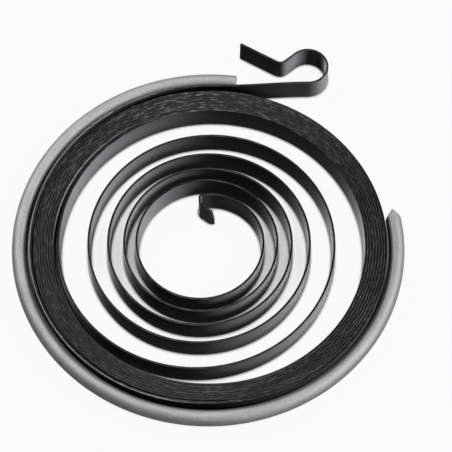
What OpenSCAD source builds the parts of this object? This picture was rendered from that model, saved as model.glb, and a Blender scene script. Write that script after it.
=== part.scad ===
// Recoil starter spring, in millimetres.
// A flat steel strip stands on its edge on the plane z = 0 and is wound inwards, counter-clockwise
// from above: a tail with a formed hook, packed turns, loose turns, and a bent hook at the eye.
// An open ring of round wire lies round the coil and keeps it wound.
// Every half turn starts and ends on the X axis, and the Z axis is the middle of the packed turns.

/* [Strip] */
// Width of the strip, which is the height of the coil
strip_w = 5; // [4:0.1:8]
// Thickness of the strip
strip_t = 0.42; // [0.3:0.01:0.6]

/* [Packed turns] */
// Radius of the outermost packed turn, to the middle of the strip
pack_r = 33.1; // [30:0.1:45]
// Number of packed turns
pack_turns = 8; // [4:1:10]
// Gap between one packed turn and the next, at the sides
pack_gap = 0.11; // [0.1:0.01:0.2]
// Straight run at the front of the outermost turn, which makes the pack a little flat there
outer_oval = 1.4; // [0.9:0.1:1.4]
// Straight run at the back of the outermost turn
back_oval = 0.1; // [0.1:0.1:1]
// Straight run at the front and back of the innermost packed turn
inner_oval = 0.6; // [0.6:0.1:1]
// How much wider than the other gaps the one inside the outermost turn is, on the left
outer_standoff = 0.29; // [0.1:0.01:0.8]

/* [Loose turns] */
// How much smaller each loose half turn is than the one before, from the pack to the eye
loose_steps = [0.3, 3, 2.85, 2.3, 1.85, 1.7, 1.5, 1.35, 1.15, 1.3]; // [0.3:0.05:3.5]
// How much smaller the last quarter turn is than the last loose half turn
last_step = 1.8; // [1:0.05:2.5]

/* [Eye hook] */
// How far the last turn goes on past the quarter, in degrees
eye_reach = 8; // [3:0.5:15]
// Radius of the first bend at the eye, to the middle of the strip
eye_bend_r = 0.55; // [0.5:0.05:1]
// Angle of the first bend
eye_bend = 86; // [70:1:100]
// Straight run between the two bends
eye_drop = 1.2; // [0.5:0.1:2.5]
// Angle of the second bend
eye_turn = 49.5; // [30:0.5:60]
// Straight run of the leg that points into the eye
eye_leg = 2.1; // [1.5:0.1:3]
// Angle through which the tip curls
eye_curl = 85; // [30:1:100]
// Height of the corner that is trimmed off the tip
tip_trim_h = 3.6; // [1:0.1:3.8]
// Width of the corner that is trimmed off the tip
tip_trim_w = 0.6; // [0.2:0.1:0.7]

/* [Outer hook] */
// Distance from the outermost turn out to the tail, at the back
tail_lift = 0.75; // [0.6:0.05:1.5]
// Straight run of the tail before it rises
tail_run = 2.5; // [1:0.1:5]
// Length over which the tail rises to the loop
tail_reach = 16.1; // [12:0.1:24]
// How far the tail rises
tail_rise = 0.72; // [0:0.01:1.5]
// Inner radius of the loop, which goes round the housing's post
loop_r = 3.6; // [2.5:0.1:5]
// Angle by which the loop bends on past a half turn
loop_past = 41; // [20:1:60]
// Straight flank between the loop and the valley
flank_len = 2.6; // [1:0.1:4]
// Inner radius of the valley bend
valley_r = 1.25; // [0.8:0.05:2.5]
// Angle of the valley bend
valley_bend = 71.5; // [50:0.5:90]
// Length of the straight leg at the outer end
leg_len = 8.2; // [5:0.1:12]

/* [Retaining ring] */
// Diameter of the wire
wire_d = 3; // [2:0.1:4]
// Room between the ring and the coil on each side
ring_slack = 0.45; // [0.3:0.05:1]
// Gap between the front of the coil and the ring that holds it
ring_seat = 0.06; // [0.05:0.01:0.2]
// Gap between the tail and the ring at the back
ring_back_gap = 0.65; // [0.6:0.05:1.5]
// Direction of the square-cut end, in degrees from the right
ring_start = 81.9; // [81.5:0.1:120]
// Direction of the pinched end
ring_end = 10.8; // [0:0.1:30]
// Half angle of the pinched end's edge
pinch_half_angle = 43; // [30:1:60]

/* [Hidden] */
$fn = 128;
bend_steps = 10;
margin = 1;

function grid(v) = round(v * 1000) / 1000;
function sum_to(v, n) = n < 0 ? 0 : v[n] + sum_to(v, n - 1);

half_t = grid(strip_t / 2);
half_pitch = grid((strip_t + pack_gap) / 2);

// Half turns: 1 is the front of the outermost turn, even ones go round the back
packed_halves = 2 * pack_turns - 1;
loose_halves = len(loose_steps);
halves = packed_halves + loose_halves;

// Distance from the axis at which the strip crosses the X axis at the end of packed half turn n
first_x = grid(pack_r + half_pitch + outer_standoff);
function packed_x(n) = n == 0 ? first_x : grid(pack_r - (n - 1) * half_pitch);

// Straight run in the middle of packed half turn n
function flat(n) =
    let (first = n % 2 == 1 ? 1 : 2, outer = first == 1 ? outer_oval : back_oval)
    outer + (inner_oval - outer) * (n - first) / (packed_halves + 1 - 2 * first);
function packed_r(n) = grid((packed_x(n - 1) + packed_x(n) - flat(n)) / 2);

// The loose half turns are plain semicircles, each one smaller than the last
function loose_r(n) = grid(packed_r(packed_halves) - sum_to(loose_steps, n - packed_halves - 1));
function turn_r(n) = n <= packed_halves ? packed_r(n) : loose_r(n);
function cross_x(n) = n <= packed_halves ? packed_x(n) : 2 * turn_r(n) - cross_x(n - 1);

last_r = grid(loose_r(halves) - last_step);
last_x = grid(cross_x(halves) - last_r);

// The tail's quarter turn reaches further out at the back than the turn that it starts
tail_r = grid(first_x + tail_lift);
tail_x = grid(tail_r - first_x);

loop_mid_r = grid(loop_r + half_t);
loop_x = grid(tail_x + tail_run + tail_reach);
loop_y = grid(tail_r + tail_rise);

// The wire goes round the middle of the strip's width, and bears on the two quarters at the front
wire_r = wire_d / 2;
half_oval = outer_oval / 2;
ring_r = grid((first_x + pack_r) / 2 + half_t + ring_slack + wire_r);
ring_x = grid((pack_r - first_x) / 2);
ring_y = grid(sqrt(pow(half_oval + ring_slack - ring_seat, 2) - pow(half_oval, 2)));
ring_z = strip_w / 2;

// Its back quarter opens out to clear the tail
ring_flare = grid(tail_r + half_t + ring_back_gap + wire_r - ring_y - ring_r);

// A pose is [x, y, heading] on the middle line of the strip
function ahead(p, d) = [p[0] + d * cos(p[2]), p[1] + d * sin(p[2]), p[2]];
function turned(p, r, a) =
    let (s = sign(a))
    [
        p[0] + s * r * (sin(p[2] + a) - sin(p[2])),
        p[1] - s * r * (cos(p[2] + a) - cos(p[2])),
        p[2] + a
    ];
function bend(p, r, a) = [for (i = [1 : bend_steps]) turned(p, r, a * i / bend_steps)];
function last(v) = v[len(v) - 1];

// A piece of strip along a list of poses
module ribbon(poses) {
    left = [for (p = poses) [p[0] - half_t * sin(p[2]), p[1] + half_t * cos(p[2])]];
    right = [for (p = poses) [p[0] + half_t * sin(p[2]), p[1] - half_t * cos(p[2])]];
    back = [for (i = [len(right) - 1 : -1 : 0]) right[i]];
    linear_extrude(strip_w) polygon(concat(left, back));
}

// A piece of strip on a circle of radius r about the point x on the X axis
module strip_arc(x, r, from, sweep, y = 0) {
    translate([x, y, 0])
        rotate_extrude(angle = sweep, start = from)
            translate([r - half_t, 0]) square([strip_t, strip_w]);
}

// Half turn n: two quarters with a straight run between them, or one semicircle
module half_turn(n) {
    front = n % 2 == 1;
    r = turn_r(n);
    left_x = front ? -cross_x(n - 1) : -cross_x(n);
    right_x = front ? cross_x(n) : cross_x(n - 1);
    left_c = grid(left_x + r);
    right_c = grid(right_x - r);
    run = grid(right_c - left_c);
    if (run > 0) {
        strip_arc(left_c, r, front ? 180 : 90, 90);
        strip_arc(right_c, r, front ? 270 : 0, 90);
        translate([left_c, (front ? -r : r) - half_t, 0]) cube([run, strip_t, strip_w]);
    } else {
        strip_arc(left_c, r, front ? 180 : 0, 180);
    }
}

// The tail rises on a smooth curve from the coil to the loop
module tail() {
    steps = 2 * bend_steps;
    start = [tail_x + tail_run, tail_r];
    slope = 6 * tail_rise / tail_reach;
    translate([tail_x, tail_r - half_t, 0]) cube([tail_run, strip_t, strip_w]);
    ribbon([
        for (i = [0 : steps])
            let (u = i / steps)
            [
                start[0] + u * tail_reach,
                start[1] + tail_rise * u * u * (3 - 2 * u),
                atan(slope * u * (1 - u))
            ]
    ]);
}

// The formed hook on the outer end: loop, flank, valley and leg
module outer_hook() {
    strip_arc(loop_x, loop_mid_r, 270, 180, loop_y + loop_mid_r);
    top = [loop_x, loop_y + 2 * loop_mid_r, 180];
    past = bend(top, loop_mid_r, loop_past);
    flank = ahead(last(past), flank_len);
    valley = bend(flank, valley_r + half_t, -valley_bend);
    ribbon(concat([top], past, [flank], valley, [ahead(last(valley), leg_len)]));
}

// The hook at the eye: a double bend, a leg and a curled tip with its upper corner trimmed
module eye_hook() {
    start = [last_x, last_r, 180];
    reach = bend(start, last_r, eye_reach);
    first = bend(last(reach), eye_bend_r, eye_bend);
    drop = ahead(last(first), eye_drop);
    second = bend(drop, eye_bend_r, eye_turn);
    leg = ahead(last(second), eye_leg);
    curl = bend(leg, eye_bend_r, eye_curl);
    tip_x = last(curl)[0] + half_t;
    difference() {
        ribbon(concat([start], reach, first, [drop], second, [leg], curl));
        translate([tip_x, last(curl)[1] + margin, 0]) rotate([90, 0, 0])
            linear_extrude(eye_leg + margin)
                polygon([
                    [0, strip_w - tip_trim_h],
                    [margin, strip_w - tip_trim_h],
                    [margin, strip_w + margin],
                    [-tip_trim_w, strip_w + margin],
                    [-tip_trim_w, strip_w]
                ]);
    }
}

module spring_strip() color("#23262b") {
    outer_hook();
    tail();
    strip_arc(tail_x, tail_r, 90, 90);
    for (n = [1 : halves]) half_turn(n);
    strip_arc(last_x, last_r, 0, 90);
    eye_hook();
}

// A piece of wire on a circle of radius r about the point x, from one direction to another
module wire_arc(x, r, from, to) {
    translate([x, ring_y, ring_z])
        rotate_extrude(angle = to - from, start = from) translate([r, 0]) circle(wire_r);
}

// The pinched end is an upright edge between two bevels
module pinch_cut() {
    bevel = 2 * wire_d;
    drop = bevel / tan(pinch_half_angle);
    translate([ring_x, ring_y, ring_z - wire_r - margin]) rotate([0, 0, ring_end]) translate([ring_r, 0, 0])
        linear_extrude(wire_d + 2 * margin)
            polygon([[0, 0], [bevel, -drop], [bevel, margin], [-bevel, margin], [-bevel, -drop]]);
}

module retaining_ring() color("#b4b7ba") {
    wire_arc(ring_x + ring_flare, ring_r + ring_flare, ring_start, 180);
    difference() {
        wire_arc(ring_x, ring_r, 180, 360 + ring_end);
        pinch_cut();
    }
}

spring_strip();
retaining_ring();
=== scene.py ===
"""Looks of the recoil starter spring: its blued strip, the wire ring round it, floor, light and camera."""

import math

import bpy
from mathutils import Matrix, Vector, noise


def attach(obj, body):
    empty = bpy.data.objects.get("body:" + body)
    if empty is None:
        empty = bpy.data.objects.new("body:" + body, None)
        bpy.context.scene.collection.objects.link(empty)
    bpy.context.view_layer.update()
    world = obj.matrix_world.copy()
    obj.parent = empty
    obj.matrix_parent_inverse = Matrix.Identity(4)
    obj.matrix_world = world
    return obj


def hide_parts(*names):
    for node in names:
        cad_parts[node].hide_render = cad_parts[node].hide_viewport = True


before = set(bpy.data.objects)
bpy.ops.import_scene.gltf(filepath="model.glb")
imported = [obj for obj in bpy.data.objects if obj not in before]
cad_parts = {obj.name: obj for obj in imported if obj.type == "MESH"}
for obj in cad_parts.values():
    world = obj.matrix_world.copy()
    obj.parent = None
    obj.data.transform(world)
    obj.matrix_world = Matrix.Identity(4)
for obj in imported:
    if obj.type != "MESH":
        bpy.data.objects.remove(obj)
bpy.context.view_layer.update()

# Sizes in millimetres and angles in degrees, as in the part's source

MM = 0.001
STRIP_W = 5.0
STRIP_T = 0.42
HALF_T = STRIP_T / 2

# Packed turns, loose half turns and the last quarter turn

PACK_R = 33.1
PACK_TURNS = 8
HALF_PITCH = 0.265
FRONT_OVAL = 1.4
BACK_OVAL = 0.1
INNER_OVAL = 0.6
OUTER_STANDOFF = 0.29
LOOSE_STEPS = (0.3, 3, 2.85, 2.3, 1.85, 1.7, 1.5, 1.35, 1.15, 1.3)
LAST_STEP = 1.8

# Hook at the eye: its reach, bend, turn and curl are angles

EYE_REACH = 8
EYE_BEND_R = 0.55
EYE_BEND = 86
EYE_DROP = 1.2
EYE_TURN = 49.5
EYE_LEG = 2.1
EYE_CURL = 85
TIP_TRIM_H = 3.6
TIP_TRIM_W = 0.6

# Tail and outer hook: the loop's and the valley's bends are angles

TAIL_LIFT = 0.75
TAIL_RUN = 2.5
TAIL_REACH = 16.1
TAIL_RISE = 0.72
LOOP_MID_R = 3.6 + HALF_T
LOOP_PAST = 41
FLANK_LEN = 2.6
VALLEY_R = 1.25 + HALF_T
VALLEY_BEND = 71.5
LEG_LEN = 8.2

# Wire ring: it opens out as far as the flare's end

WIRE_R = 1.5
RING_X = -0.278
RING_Y = 0.835
RING_Z = 2.5
RING_R = 35.538
RING_FLARE = 0.392
RING_START = 81.9
FLARE_END = 180
RING_END = 370.8
PINCH_HALF_ANGLE = 43

# Half turns of the coil: odd ones go round the front and even ones round the back

PACKED_HALVES = 2 * PACK_TURNS - 1
HALVES = PACKED_HALVES + len(LOOSE_STEPS)
FIRST_X = PACK_R + HALF_PITCH + OUTER_STANDOFF
TAIL_R = FIRST_X + TAIL_LIFT


def packed_x(n):
    """Distance from the axis at which the strip crosses the X axis after packed half turn n."""
    return FIRST_X if n == 0 else PACK_R - (n - 1) * HALF_PITCH


def packed_r(n):
    """Radius of the quarters of packed half turn n, on each side of its straight run."""
    first = 1 if n % 2 else 2
    outer = FRONT_OVAL if n % 2 else BACK_OVAL
    flat = outer + (INNER_OVAL - outer) * (n - first) / (PACKED_HALVES - 2 * first + 1)
    return (packed_x(n - 1) + packed_x(n) - flat) / 2


def turn_r(n):
    """Radius of half turn n, packed or loose."""
    if n <= PACKED_HALVES:
        return packed_r(n)
    return packed_r(PACKED_HALVES) - sum(LOOSE_STEPS[:n - PACKED_HALVES])


# The middle line of the strip, as a list of poses (x, y, heading in degrees)

STATION_GAP = 0.8
STATION_TURN = 6.0


def ahead(pose, distance):
    """The pose this far straight on."""
    x, y, heading = pose
    a = math.radians(heading)
    return (x + distance * math.cos(a), y + distance * math.sin(a), heading)


def turned(pose, radius, angle):
    """The pose after a bend to the left, or to the right where the angle is negative."""
    x, y, heading = pose
    side = math.copysign(radius, angle)
    a = math.radians(heading)
    b = math.radians(heading + angle)
    new_x = x + side * (math.sin(b) - math.sin(a))
    new_y = y - side * (math.cos(b) - math.cos(a))
    return (new_x, new_y, heading + angle)


def trace(pose, moves):
    """Poses along straight runs, given as (0, length), and bends, given as (radius, angle to the left)."""
    line = [pose]
    for radius, amount in moves:
        start = line[-1]
        if radius:
            length = radius * math.radians(abs(amount))
            count = max(math.ceil(length / STATION_GAP), math.ceil(abs(amount) / STATION_TURN))
            line += [turned(start, radius, amount * i / count) for i in range(1, count + 1)]
        else:
            count = max(1, math.ceil(amount / STATION_GAP))
            line += [ahead(start, amount * i / count) for i in range(1, count + 1)]
    return line


def coil_moves():
    """The moves from the start of the outermost turn to the tip of the hook at the eye."""
    moves = [(TAIL_R, 90)]
    for n in range(1, HALVES + 1):
        r = turn_r(n)
        if n <= PACKED_HALVES:
            moves += [(r, 90), (0, packed_x(n - 1) + packed_x(n) - 2 * r), (r, 90)]
        else:
            moves.append((r, 180))
    last_r = turn_r(HALVES) - LAST_STEP
    moves += [(last_r, 90), (last_r, EYE_REACH), (EYE_BEND_R, EYE_BEND), (0, EYE_DROP)]
    moves += [(EYE_BEND_R, EYE_TURN), (0, EYE_LEG), (EYE_BEND_R, EYE_CURL)]
    return moves


def hook_line():
    """The outer end of the strip, from the end of the leg to the start of the outermost turn."""
    loop_x = TAIL_LIFT + TAIL_RUN + TAIL_REACH
    loop_y = TAIL_R + TAIL_RISE
    top = (loop_x, loop_y + 2 * LOOP_MID_R, 180)
    outer = trace(top, [(LOOP_MID_R, LOOP_PAST), (0, FLANK_LEN), (VALLEY_R, -VALLEY_BEND), (0, LEG_LEN)])
    line = [(x, y, heading - 180) for x, y, heading in reversed(outer)]
    line += trace(line[-1], [(LOOP_MID_R, -180)])[1:]
    count = math.ceil(TAIL_REACH / STATION_GAP)
    for i in range(1, count + 1):
        u = 1 - i / count
        slope = math.atan(6 * TAIL_RISE / TAIL_REACH * u * (1 - u))
        rise = TAIL_RISE * u * u * (3 - 2 * u)
        line.append((TAIL_LIFT + TAIL_RUN + u * TAIL_REACH, TAIL_R + rise, math.degrees(slope) - 180))
    return line + trace(line[-1], [(0, TAIL_RUN)])[1:]


# Meshes swept along a line, with four numbers marked at each point for the finishes

SHARP_ANGLE = 50


def mesh_piece(name, rings, marks, finish):
    """An object from rings of points, closed at both ends, with a mark at each point."""
    count = len(rings[0])
    points = [p for ring in rings for p in ring]
    faces = []
    for i in range(len(rings) - 1):
        for j in range(count):
            k = (j + 1) % count
            faces.append((i * count + j, i * count + k, (i + 1) * count + k, (i + 1) * count + j))
    faces.append(tuple(reversed(range(count))))
    faces.append(tuple(range(len(points) - count, len(points))))
    mesh = bpy.data.meshes.new(name)
    mesh.from_pydata([[c * MM for c in p] for p in points], [], faces)
    layer = mesh.attributes.new("marks", "FLOAT_COLOR", "POINT")
    layer.data.foreach_set("color", [c for ring in marks for mark in ring for c in mark])
    mesh.shade_smooth()
    mesh.set_sharp_from_angle(angle=math.radians(SHARP_ANGLE))
    mesh.materials.append(finish)
    piece = bpy.data.objects.new(name, mesh)
    bpy.context.scene.collection.objects.link(piece)
    even = piece.modifiers.new("even_shading", "WEIGHTED_NORMAL")
    even.keep_sharp = True
    return piece


# Rounded edges of the strip

EDGE_R = 0.042
CORNER_STEPS = 4

# Each corner: inner or outer side, upper or lower end, angle at which its rounding starts

CORNERS = ((1, 1, 0), (-1, 1, 90), (-1, -1, 180), (1, -1, 270))


def strip_section():
    """Points round the strip's section as (offset, height, share of edge)."""
    points = []
    for side, end, first in CORNERS:
        for i in range(CORNER_STEPS + 1):
            a = math.radians(first + 90 * i / CORNER_STEPS)
            offset = side * (HALF_T - EDGE_R) + EDGE_R * math.cos(a)
            height = STRIP_W / 2 + end * (STRIP_W / 2 - EDGE_R) + EDGE_R * math.sin(a)
            points.append((offset, height, abs(math.sin(a))))
    return points


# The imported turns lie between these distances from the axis

PACK_INSIDE = 28.4
PACK_OUTSIDE = 34.0
PACK_FADE = 0.4


def packed_share(reach):
    """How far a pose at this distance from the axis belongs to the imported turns, from 0 to 1."""
    if reach > PACK_OUTSIDE:
        return 0.0
    return min(max((reach - PACK_INSIDE) / PACK_FADE, 0), 1)


# They bear on one another, so they fill most of the gap that the source leaves between them

SIDE_GAP = 0.11
FRONT_GAP = 0.053
BACK_GAP = 0.152
GAP_FILLED = 0.95


def pack_swell(x, y):
    """How many times as thick as the plain strip it is here."""
    reach = math.hypot(x, y)
    far_gap = BACK_GAP if y > 0 else FRONT_GAP
    gap = far_gap + (SIDE_GAP - far_gap) * (x / reach) ** 2
    return 1 + packed_share(reach) * GAP_FILLED * gap / STRIP_T


# They are not wound quite level: lengths of the waves, and where in the noise they are read

LIFT = 0.07
WAVE = 23.0
RIPPLE = 7.4
RIPPLE_SHARE = 0.5
NOISE_LANE = 11.5
WAVE_LAYER = 0.5
RIPPLE_LAYER = 7.5


def pack_lift(reach, length):
    """How far the strip rides up at this distance from the axis and along the strip."""
    slow = noise.noise(Vector((length / WAVE, NOISE_LANE, WAVE_LAYER)))
    quick = noise.noise(Vector((length / RIPPLE, NOISE_LANE, RIPPLE_LAYER)))
    return packed_share(reach) * LIFT * (0.5 + 0.5 * (slow + RIPPLE_SHARE * quick))


# Edge wear from 0 to 1, with painted highlight in the pack: most at its back, more at the back left than
# right

HOOK_WEAR = 0.3
LOOSE_WEAR = 0.35
FRONT_WEAR_AND_HIGHLIGHT = 0.3
BACK_WEAR_AND_HIGHLIGHT = 0.7
DIAGONAL_HIGHLIGHT = 0.14

# The outer corner of the outermost turn is polished by the wire, between these headings

POLISH_START = -200
POLISH_RISE = 40
POLISH_END = 90
POLISH_FALL = 105


def coil_wear_and_highlight(pose):
    """Wear of the strip's edges, with painted highlight in the pack, at their inner corner and at their
    outer one.
    """
    x, y, heading = pose
    reach = math.hypot(x, y)
    # Painted highlight: the pack's edges are made brighter towards its back, and at the back left and
    # front right
    packed = FRONT_WEAR_AND_HIGHLIGHT + (BACK_WEAR_AND_HIGHLIGHT - FRONT_WEAR_AND_HIGHLIGHT) * (0.5 + 0.5 * y / reach)
    packed -= DIAGONAL_HIGHLIGHT * 2 * x * y / reach ** 2
    inside = LOOSE_WEAR + (packed - LOOSE_WEAR) * packed_share(reach)
    polish = min((heading - POLISH_START) / POLISH_RISE, (POLISH_END - heading) / POLISH_FALL, 1)
    return inside, max(inside, polish)


# Only the hook at the eye lies nearer the axis than this

EYE_LIMIT = 9.8


def tip_height(x, tip_x):
    """Height of the hook at the eye, whose upper corner is trimmed away at the tip."""
    trim = min(max((x - tip_x + TIP_TRIM_W) / TIP_TRIM_W, 0), 1)
    return STRIP_W - TIP_TRIM_H * trim


def make_strip(finish):
    """The strip, marked with metres along it, metres round it, share of edge, and wear with painted
    highlight.
    """
    section = strip_section()
    hook = hook_line()
    coil = trace(hook[-1], coil_moves())[1:]
    line = [(*pose, HOOK_WEAR, HOOK_WEAR) for pose in hook]
    line += [(*pose, *coil_wear_and_highlight(pose)) for pose in coil]
    tip_x = coil[-1][0] + HALF_T
    rings = []
    marks = []
    length = 0.0
    before = hook[0]
    for x, y, heading, inner_wear_and_highlight, outer_wear_and_highlight in line:
        length += math.hypot(x - before[0], y - before[1])
        before = (x, y)
        a = math.radians(heading)
        reach = math.hypot(x, y)
        swell = pack_swell(x, y)
        lift = pack_lift(reach, length)
        points = []
        point_marks = []
        for offset, height, edge in section:
            px = x - offset * swell * math.sin(a)
            py = y + offset * swell * math.cos(a)
            pz = height + lift
            if reach < EYE_LIMIT:
                pz = min(pz, tip_height(px, tip_x))
            points.append((px, py, pz))
            wear_and_highlight = outer_wear_and_highlight if offset < 0 else inner_wear_and_highlight
            point_marks.append((length * MM, (height + offset) * MM, edge, wear_and_highlight))
        rings.append(points)
        marks.append(point_marks)
    return mesh_piece("spring_strip_blued", rings, marks, finish)


# The wire's square-cut end is rounded, and its other end is pinched to an upright edge

WIRE_SIDES = 48
WIRE_TURN = 1.5
CUT_ROUND = 0.16
CUT_STEPS = 5
PINCH_HALF_EDGE = 0.07
PINCH_STEPS = 10


def wire_turns():
    """Angles round the ring at which the wire has a section, close together at its ends."""
    pinch_turn = math.degrees(WIRE_R / math.tan(math.radians(PINCH_HALF_ANGLE)) / RING_R)
    round_turn = math.degrees(CUT_ROUND / RING_R)
    body_turn = RING_END - pinch_turn - RING_START
    body_steps = math.ceil(body_turn / WIRE_TURN)
    quarter = [math.radians(90 * i / CUT_STEPS) for i in range(CUT_STEPS + 1)]
    turns = [RING_START + round_turn * (1 - math.cos(a)) for a in quarter]
    turns += [RING_START + body_turn * i / body_steps for i in range(1, body_steps + 1)]
    turns += [RING_END - pinch_turn * (1 - i / PINCH_STEPS) for i in range(1, PINCH_STEPS + 1)]
    return turns


def make_ring(finish):
    """The wire ring, marked with metres along it and the share of the way round the wire."""
    rings = []
    marks = []
    for turn in wire_turns():
        flare = RING_FLARE if turn < FLARE_END else 0
        a = math.radians(turn)
        from_start = math.radians(turn - RING_START) * RING_R
        from_tip = math.radians(RING_END - turn) * RING_R
        corner = max(0.0, 1 - from_start / CUT_ROUND)
        r = WIRE_R - CUT_ROUND * (1 - math.sqrt(max(0.0, 1 - corner * corner)))
        half = from_tip * math.tan(math.radians(PINCH_HALF_ANGLE)) + PINCH_HALF_EDGE
        points = []
        point_marks = []
        for j in range(WIRE_SIDES):
            b = -2 * math.pi * j / WIRE_SIDES
            reach = RING_R + flare + min(max(r * math.cos(b), -half), half)
            px = RING_X + flare + reach * math.cos(a)
            py = RING_Y + reach * math.sin(a)
            pz = RING_Z + r * math.sin(b)
            points.append((px, py, pz))
            point_marks.append((from_start * MM, j / WIRE_SIDES, 0.0, 0.0))
        rings.append(points)
        marks.append(point_marks)
    return mesh_piece("retaining_ring_wire", rings, marks, finish)


# Shader maths

def grey(level, tint=(1.0, 1.0, 1.0)):
    """A grey of this level as a colour, tinted a little."""
    return (level * tint[0], level * tint[1], level * tint[2], 1.0)


class Signal:
    """A shader socket that takes part in sums: each operation on it adds a Math node."""

    def __init__(self, finish, socket):
        self.finish = finish
        self.socket = socket

    def out(self, key):
        """Another output of the same node."""
        return Signal(self.finish, self.socket.node.outputs[key])

    def math(self, operation, a, b):
        return self.finish.node("ShaderNodeMath", {"operation": operation}, {0: a, 1: b})

    def __add__(self, other):
        return self.math("ADD", self, other)

    def __sub__(self, other):
        return self.math("SUBTRACT", self, other)

    def __rsub__(self, other):
        return self.math("SUBTRACT", other, self)

    def __mul__(self, other):
        return self.math("MULTIPLY", self, other)

    __radd__ = __add__
    __rmul__ = __mul__


class Finish:
    """A material under construction."""

    def __init__(self, name):
        self.material = bpy.data.materials.new(name)
        self.material.use_nodes = True
        self.tree = self.material.node_tree
        self.tree.nodes.clear()

    def node(self, kind, settings=None, sockets=None):
        """The first output of a new node with these settings and these values or links."""
        made = self.tree.nodes.new(kind)
        for key, value in (settings or {}).items():
            if key == "stops":
                ramp = made.color_ramp
                for place, _ in value[len(ramp.elements):]:
                    ramp.elements.new(place)
                for element, (place, level) in zip(ramp.elements, value):
                    element.position = place
                    element.color = grey(level)
            else:
                setattr(made, key, value)
        for key, value in (sockets or {}).items():
            if isinstance(value, Signal):
                self.tree.links.new(value.socket, made.inputs[key])
            else:
                made.inputs[key].default_value = value
        return Signal(self, made.outputs[0] if len(made.outputs) else None)

    def marks(self):
        """The four numbers that the mesh has at each point."""
        colour = self.node("ShaderNodeAttribute", {"attribute_name": "marks"})
        parts = self.node("ShaderNodeSeparateColor", None, {0: colour})
        return parts, parts.out(1), parts.out(2), colour.out(3)

    def streaks(self, place, along, across, detail, rough):
        """Noise with this many waves to a unit along the piece and across it."""
        scaled = {0: place, 1: (along, across, 1)}
        vector = self.node("ShaderNodeVectorMath", {"operation": "MULTIPLY"}, scaled)
        sockets = {"Vector": vector, "Scale": 1.0, "Detail": detail, "Roughness": rough}
        return self.node("ShaderNodeTexNoise", None, sockets)

    def ramp(self, value, *stops):
        """A grey level from a value, by stops of (value, level)."""
        return self.node("ShaderNodeValToRGB", {"stops": stops}, {"Fac": value})

    def blend(self, share, a, b):
        """Colour a where the share is 0 and colour b where it is 1: the Mix node's colour sockets."""
        return self.node("ShaderNodeMix", {"data_type": "RGBA"}, {0: share, 6: a, 7: b}).out(2)

    def close(self, shader):
        """The material, with this shader as its surface."""
        self.node("ShaderNodeOutputMaterial", None, {"Surface": shader})
        return self.material


# Blued strip: grey levels of its faces, of its edges, and their slight blue

FACE_DARK = 0.185
FACE_LIGHT = 0.285
# The grey of the painted shade along the tail and the outermost turn
FACE_PAINTED_SHADE = 0.045
FACE_GRAZING = 0.35
EDGE_DULL = 0.031
EDGE_RUBBED = 0.24
EDGE_POLISHED = 0.4
STEEL_TINT = (0.985, 1.0, 1.025)
ROLLED_DEPTH = 0.04 * MM

# Where the dashes along the edges are rubbed bright, and where wear turns to polish: (value, share)

RUBBED = ((0.5, 0.0), (0.64, 1.0))
POLISHED = ((0.8, 0.0), (1.0, 1.0))

# Painted shade on the tail and the outermost turn, which the wire shades, and the hook's leg darker too:
# (metres from the leg's end, share)

PAINTED_SHADE_ALONG = ((0.006, 0.6), (0.011, 0.0), (0.03, 0.0), (0.046, 1.0), (0.31, 1.0), (0.34, 0.0))


def steel(level):
    return grey(level, STEEL_TINT)


def blued_steel():
    """Blued strip: lines rolled along it, a satin sheen across them, rubbed edges, painted highlight and
    shade.
    """
    f = Finish("blued_spring_steel")
    length, girth, edge, wear_and_highlight = f.marks()
    place = f.node("ShaderNodeCombineXYZ", None, {0: length, 1: girth, 2: 0.0})
    rolled = f.streaks(place, along=60, across=6000, detail=4.0, rough=0.6)
    cloud = f.streaks(place, along=90, across=300, detail=3.0, rough=0.5)
    dashes = f.streaks(place, along=600, across=4200, detail=3.0, rough=0.6)
    patches = f.streaks(place, along=60, across=0, detail=2.0, rough=0.5)
    rubbed = f.ramp(0.7 * dashes + 0.3 * patches, *RUBBED)
    polished = f.ramp(wear_and_highlight, *POLISHED)
    # Painted shade on the tail and the outermost turn, and the hook's leg darker too
    painted_face_shade = f.ramp(length, *PAINTED_SHADE_ALONG)
    bump = f.node("ShaderNodeBump", None, {"Strength": 0.06, "Distance": ROLLED_DEPTH, "Height": rolled})
    clean = f.blend(0.6 * cloud + 0.4 * rolled, steel(FACE_DARK), steel(FACE_LIGHT))
    face = f.node("ShaderNodeBsdfPrincipled", None, {
        "Base Color": f.blend(painted_face_shade, clean, steel(FACE_PAINTED_SHADE)),
        "Roughness": 0.46 + 0.1 * rolled,
        "Metallic": 1.0,
        "Anisotropic": 1.0,
        "Anisotropic Rotation": 0.25,
        "Specular Tint": grey(FACE_GRAZING),
        "Normal": bump,
    })
    # Rubbed dashes, which the painted highlight makes brighter towards the pack's back
    dull = f.blend(rubbed * wear_and_highlight, steel(EDGE_DULL), steel(EDGE_RUBBED))
    rim = f.node("ShaderNodeBsdfPrincipled", None, {
        "Base Color": f.blend(polished, dull, steel(EDGE_POLISHED)),
        "Roughness": 0.55 - 0.1 * rubbed,
        "Metallic": 1.0,
        "Anisotropic": 0.6,
        "Normal": bump,
    })
    return f.close(f.node("ShaderNodeMixShader", None, {0: edge, 1: face, 2: rim}))


# Plain wire: its grey levels and the depth of its drawn lines

WIRE_DARK = 0.44
WIRE_LIGHT = 0.62
# The grey of the painted shade towards the pinched end
WIRE_PAINTED_SHADE = 0.3
DRAWN_DEPTH = 0.05 * MM

# Where it is stained: (value, share)

STAINED = ((0.35, 0.0), (0.65, 1.0))

# Painted shade towards its pinched end, on the ring's front right and right: (metres from the square-cut
# end, share)

PAINTED_SHADE_AT_PINCH = ((0.125, 0.0), (0.16, 0.45))


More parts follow.
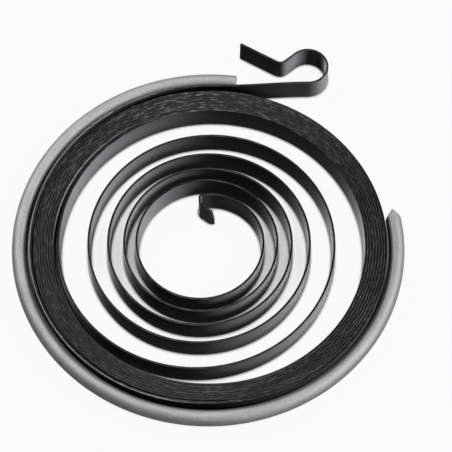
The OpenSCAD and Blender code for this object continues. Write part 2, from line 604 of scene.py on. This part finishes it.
def drawn_wire():
    """Plain drawn steel wire: fine lines along it, a fine grain, a slight patchy stain, and painted shade.
    """
    f = Finish("drawn_steel_wire")
    length, around, _, _ = f.marks()
    place = f.node("ShaderNodeCombineXYZ", None, {0: length, 1: around, 2: 0.0})
    lines = f.streaks(place, along=50, across=120, detail=4.0, rough=0.6)
    stain = f.streaks(place, along=170, across=6, detail=4.0, rough=0.6)
    grain = f.streaks(place, along=2600, across=26, detail=2.0, rough=0.5)
    stained = f.ramp(0.5 * stain + 0.5 * grain, *STAINED)
    # Painted shade: darker towards the pinched end, on the ring's right
    painted_wire_shade = f.ramp(length, *PAINTED_SHADE_AT_PINCH)
    clean = f.blend(stained, grey(WIRE_DARK), grey(WIRE_LIGHT))
    bump = f.node("ShaderNodeBump", None, {"Strength": 0.12, "Distance": DRAWN_DEPTH, "Height": lines})
    return f.close(f.node("ShaderNodeBsdfPrincipled", None, {
        "Base Color": f.blend(painted_wire_shade, clean, grey(WIRE_PAINTED_SHADE)),
        "Roughness": 0.63 + 0.14 * lines,
        "Metallic": 1.0,
        "Normal": bump,
    }))


# Floor: how white it is to the eye and in reflections, and the grey of the paper under that

SEEN_GLOW = 0.95
MIRRORED_GLOW = 0.04
PAPER = 0.22

# Painted shade dims the white in narrow gaps and at the foot of things: how far each reaches, and (open
# share, level)

GAP_REACH = STRIP_W * MM
GAP_LEVELS = ((0.02, 0.12), (0.27, 0.36), (0.33, 1.0))
CONTACT_REACH = 1.0 * MM
CONTACT_LEVELS = ((0.5, 0.0), (0.78, 1.0))


def floor_paper():
    """Paper that reads as white in the open, with painted shade in narrow gaps and at the foot of things.
    """
    f = Finish("floor_paper")
    ray = f.node("ShaderNodeLightPath")
    seen = ray.out("Is Camera Ray")
    mirrored = ray.out("Is Glossy Ray") + ray.out("Is Transmission Ray")
    # Painted shade: ambient occlusion dims the glow in narrow gaps and at the foot of walls
    above = f.node("ShaderNodeAmbientOcclusion", {"samples": 16}, {"Distance": GAP_REACH}).out("AO")
    beside = f.node("ShaderNodeAmbientOcclusion", {"samples": 8}, {"Distance": CONTACT_REACH}).out("AO")
    open_sky = f.ramp(above, *GAP_LEVELS) * f.ramp(beside, *CONTACT_LEVELS)
    share = SEEN_GLOW * seen * open_sky + MIRRORED_GLOW * mirrored
    paper = f.node("ShaderNodeBsdfDiffuse", None, {"Color": grey(PAPER)})
    glow = f.node("ShaderNodeEmission", None, {"Color": grey(1.0), "Strength": 1.0})
    return f.close(f.node("ShaderNodeMixShader", None, {0: share, 1: paper, 2: glow}))


# Pieces

strip = make_strip(blued_steel())
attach(strip, "root")
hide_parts("spring_strip")

ring = make_ring(drawn_wire())
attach(ring, "root")
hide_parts("retaining_ring")

# Floor, just under the strip's lower edge (from here on in metres)

FLOOR_HALF = 1.5
FLOOR_DROP = 0.00002

corners = ((-1, -1), (1, -1), (1, 1), (-1, 1))
floor_mesh = bpy.data.meshes.new("floor")
floor_mesh.from_pydata([(x * FLOOR_HALF, y * FLOOR_HALF, 0) for x, y in corners], [], [(0, 1, 2, 3)])
floor_mesh.materials.append(floor_paper())
floor = bpy.data.objects.new("floor", floor_mesh)
floor.location.z = -FLOOR_DROP
bpy.context.scene.collection.objects.link(floor)

# A faint even light from all round

WORLD_LEVEL = 0.01

world = bpy.data.worlds.new("studio")
bpy.context.scene.world = world
world.use_nodes = True
background = world.node_tree.nodes["Background"]
background.inputs["Color"].default_value = grey(1.0)
background.inputs["Strength"].default_value = WORLD_LEVEL

# A long soft light on the right, brighter towards the back, and one behind on the left

LAMP_DISTANCE = 0.7
LAMP_SIDE = 0.28

# Each lamp: direction round from the right, elevation, watts

LAMPS = {
    "right_1": (-65, 38, 0.3),
    "right_2": (-46, 38, 0.55),
    "right_3": (-27, 38, 0.85),
    "right_4": (-8, 40, 1.1),
    "right_5": (11, 42, 1.2),
    "right_6": (30, 44, 1.3),
    "back_left": (138, 44, 2.6),
}

for name, (turn, rise, watts) in LAMPS.items():
    light = bpy.data.lights.new(name, "AREA")
    light.size = LAMP_SIDE
    light.energy = watts
    lamp = bpy.data.objects.new(name, light)
    t = math.radians(turn)
    e = math.radians(rise)
    toward = Vector((math.cos(t) * math.cos(e), math.sin(t) * math.cos(e), math.sin(e)))
    lamp.location = toward * LAMP_DISTANCE
    lamp.rotation_euler = toward.to_track_quat("Z", "Y").to_euler()
    bpy.context.scene.collection.objects.link(lamp)

# The camera looks from the front at the coil's upper side, and is shifted as the photograph is framed

CAMERA_RISE = math.radians(62.44)
CAMERA_DISTANCE = 0.3752
CAMERA_NEAR = 0.01
SENSOR = 36
LENS = 159.3
SHIFT_X = 0.0361
SHIFT_Y = 0.0341

view = bpy.data.cameras.new("camera")
view.sensor_width = SENSOR
view.lens = LENS
view.shift_x = SHIFT_X
view.shift_y = SHIFT_Y
view.clip_start = CAMERA_NEAR
camera = bpy.data.objects.new("camera", view)
camera.location.y = -CAMERA_DISTANCE * math.cos(CAMERA_RISE)
camera.location.z = STRIP_W * MM + CAMERA_DISTANCE * math.sin(CAMERA_RISE)
camera.rotation_euler.x = math.pi / 2 - CAMERA_RISE
bpy.context.scene.collection.objects.link(camera)
bpy.context.scene.camera = camera

bpy.context.scene.view_settings.view_transform = "Standard"
